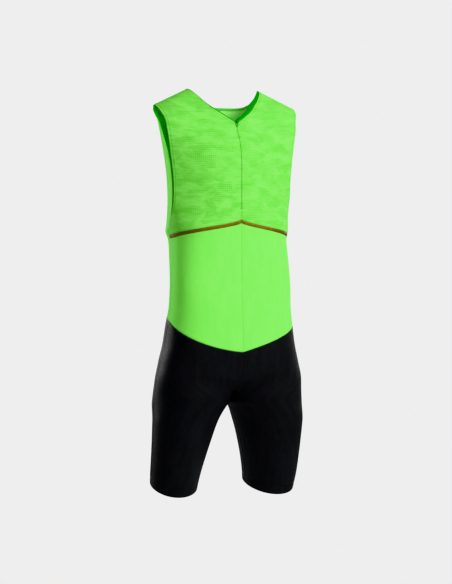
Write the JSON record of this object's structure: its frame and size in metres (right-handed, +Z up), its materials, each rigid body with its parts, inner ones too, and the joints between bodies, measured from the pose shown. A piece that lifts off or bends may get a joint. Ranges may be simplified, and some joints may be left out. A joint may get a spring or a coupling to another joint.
{
  "type": "athletics bodysuit",
  "caption": "Sleeveless one-piece athletics suit with a zipped V neck, a taped chest seam, close short legs and open armholes, filled out as if worn.",
  "frame": {"origin": "the midpoint between the two neck points, where the shoulder seams meet the neck edge and the wearer's shoulders hold the garment up", "axes": "+Z up towards the neck, -Y the garment's front, +X the wearer's left"},
  "size_m": [0.3732, 0.1986, 0.97],
  "materials": {
    "mesh_knit": "lime green knit mesh with a tonal pattern",
    "plain_knit": "smooth lime green stretch knit",
    "black_knit": "black stretch knit with a low sheen",
    "bronze_foil": "bronze foil tape with a metallic sheen",
    "trim_tape": "matt green knit tape",
    "zip_tape": "green woven zip tape",
    "zip_metal": "green painted metal"
  },
  "bodies": {
    "garment": {"front_yoke_left": "mesh_knit", "front_yoke_right": "mesh_knit", "chest_tape_left": "bronze_foil", "chest_tape_right": "bronze_foil", "lower_front_left": "plain_knit", "lower_front_right": "plain_knit", "back": "plain_knit", "front_leg_left": "black_knit", "front_leg_right": "black_knit", "back_leg_left": "black_knit", "back_leg_right": "black_knit", "neck_tape": "trim_tape", "zip_tape_left": "zip_tape", "zip_tape_right": "zip_tape", "zip_slider": "zip_metal"},
    "zip_pull": {"zip_pull": "zip_metal"}
  },
  "joints": [
    {"name": "zip_pull_swing", "type": "hinge", "parent": "garment", "child": "zip_pull", "pos_m": [0, -0.08769, -0.0913], "axis": [1, 0, 0], "range_deg": [0, 155]}
  ]
}
